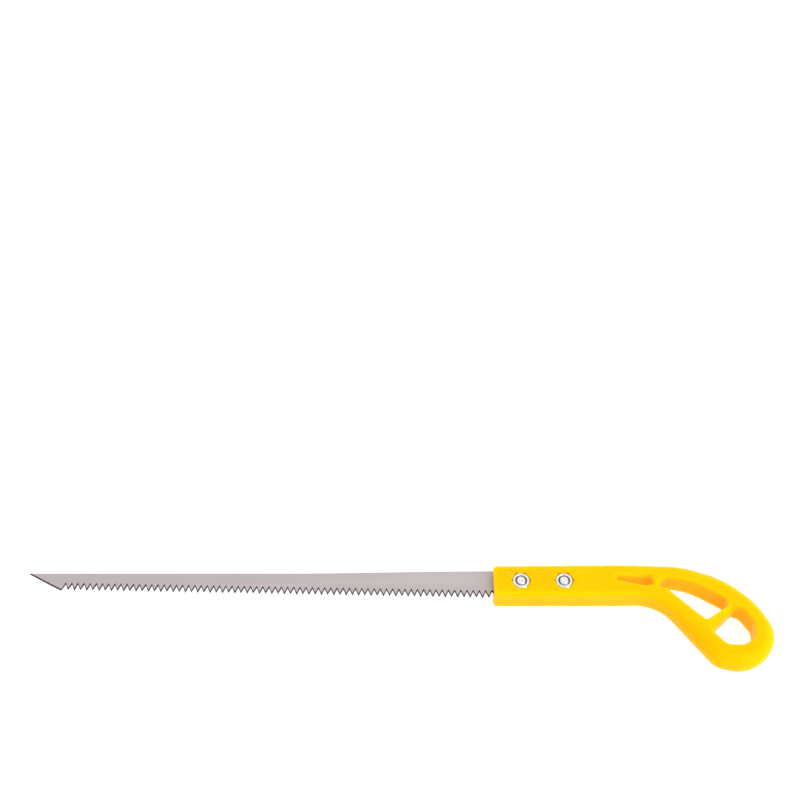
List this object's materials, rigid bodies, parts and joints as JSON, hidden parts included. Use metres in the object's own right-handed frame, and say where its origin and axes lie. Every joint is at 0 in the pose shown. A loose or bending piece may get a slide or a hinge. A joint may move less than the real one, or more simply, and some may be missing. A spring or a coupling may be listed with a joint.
{
  "type": "drywall saw",
  "caption": "Drywall saw with a pistol-type moulded plastic handle, openings in its tail, and a tapered toothed steel blade clamped by screws and hexagon nuts.",
  "frame": {"origin": "middle of the saw's box, on the plane of the handle's back face, on which the saw lies", "axes": "+X from the blade's point to the handle's tail, +Y from the teeth to the spine, +Z through the thickness towards the nuts"},
  "size_m": [0.4481, 0.0669, 0.016],
  "materials": {
    "handle": "semi-gloss moulded yellow",
    "blade": "satin",
    "fastener": "bright zinc plate"
  },
  "bodies": {
    "root": {"handle": "handle", "blade": "blade", "screw_front": "fastener", "screw_rear": "fastener", "nut_front": "fastener", "nut_rear": "fastener"}
  },
  "joints": []
}
